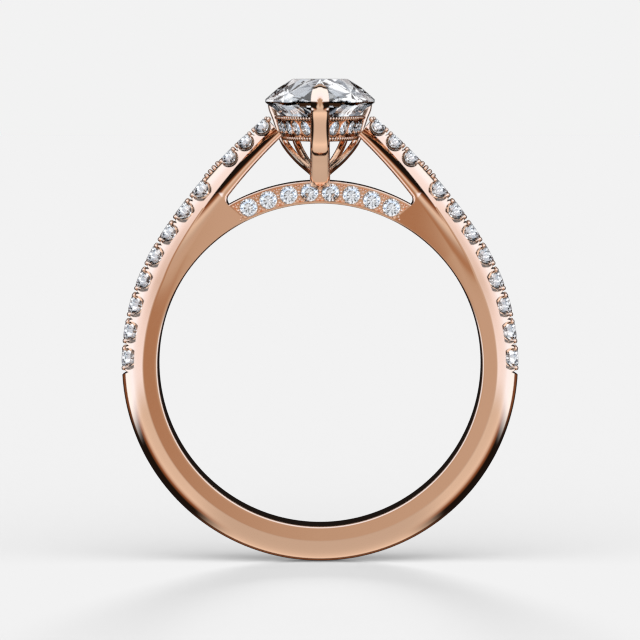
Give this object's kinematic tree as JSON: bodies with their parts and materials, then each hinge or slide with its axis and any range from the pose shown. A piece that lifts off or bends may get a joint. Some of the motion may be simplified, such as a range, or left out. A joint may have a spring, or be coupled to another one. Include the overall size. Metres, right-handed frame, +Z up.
{
  "type": "engagement ring",
  "caption": "Cathedral engagement ring with a pear-cut centre stone in a claw head, a stone-set gallery band and bridge, and scalloped stone-set shoulders.",
  "frame": {"origin": "centre of the finger hole, midway along the finger's axis through the shank", "axes": "+Z up to the centre stone, Y along the finger with the pear's point towards -Y, +X to the right as seen from -Y"},
  "size_m": [0.0202, 0.0088, 0.0246],
  "materials": {
    "rose_gold": "mirror-polished 18 carat rose gold",
    "centre_diamond": "polished facets, colourless",
    "small_diamonds": "polished facets, colourless"
  },
  "bodies": {
    "root": {"shank": "rose_gold", "bridge": "rose_gold", "head_base": "rose_gold", "front_v_claw": "rose_gold", "left_side_claw": "rose_gold", "right_side_claw": "rose_gold", "left_back_claw": "rose_gold", "right_back_claw": "rose_gold", "gallery_band": "rose_gold", "centre_stone": "centre_diamond", "back_gallery_stone_1": "small_diamonds", "bridge_stone_1": "small_diamonds", "bridge_stone_2": "small_diamonds", "bridge_stone_3": "small_diamonds", "bridge_stone_4": "small_diamonds", "bridge_stone_5": "small_diamonds", "bridge_stone_6": "small_diamonds", "bridge_stone_7": "small_diamonds", "bridge_stone_8": "small_diamonds", "left_gallery_stone_1": "small_diamonds", "left_gallery_stone_2": "small_diamonds", "left_gallery_stone_3": "small_diamonds", "left_gallery_stone_4": "small_diamonds", "left_gallery_stone_5": "small_diamonds", "left_gallery_stone_6": "small_diamonds", "left_gallery_stone_7": "small_diamonds", "left_gallery_stone_8": "small_diamonds", "left_shoulder_stone_1": "small_diamonds", "left_shoulder_stone_10": "small_diamonds", "left_shoulder_stone_11": "small_diamonds", "left_shoulder_stone_2": "small_diamonds", "left_shoulder_stone_3": "small_diamonds", "left_shoulder_stone_4": "small_diamonds", "left_shoulder_stone_5": "small_diamonds", "left_shoulder_stone_6": "small_diamonds", "left_shoulder_stone_7": "small_diamonds", "left_shoulder_stone_8": "small_diamonds", "left_shoulder_stone_9": "small_diamonds", "right_gallery_stone_1": "small_diamonds", "right_gallery_stone_2": "small_diamonds", "right_gallery_stone_3": "small_diamonds", "right_gallery_stone_4": "small_diamonds", "right_gallery_stone_5": "small_diamonds", "right_gallery_stone_6": "small_diamonds", "right_gallery_stone_7": "small_diamonds", "right_gallery_stone_8": "small_diamonds", "right_shoulder_stone_1": "small_diamonds", "right_shoulder_stone_10": "small_diamonds", "right_shoulder_stone_11": "small_diamonds", "right_shoulder_stone_2": "small_diamonds", "right_shoulder_stone_3": "small_diamonds", "right_shoulder_stone_4": "small_diamonds", "right_shoulder_stone_5": "small_diamonds", "right_shoulder_stone_6": "small_diamonds", "right_shoulder_stone_7": "small_diamonds", "right_shoulder_stone_8": "small_diamonds", "right_shoulder_stone_9": "small_diamonds"}
  },
  "joints": []
}
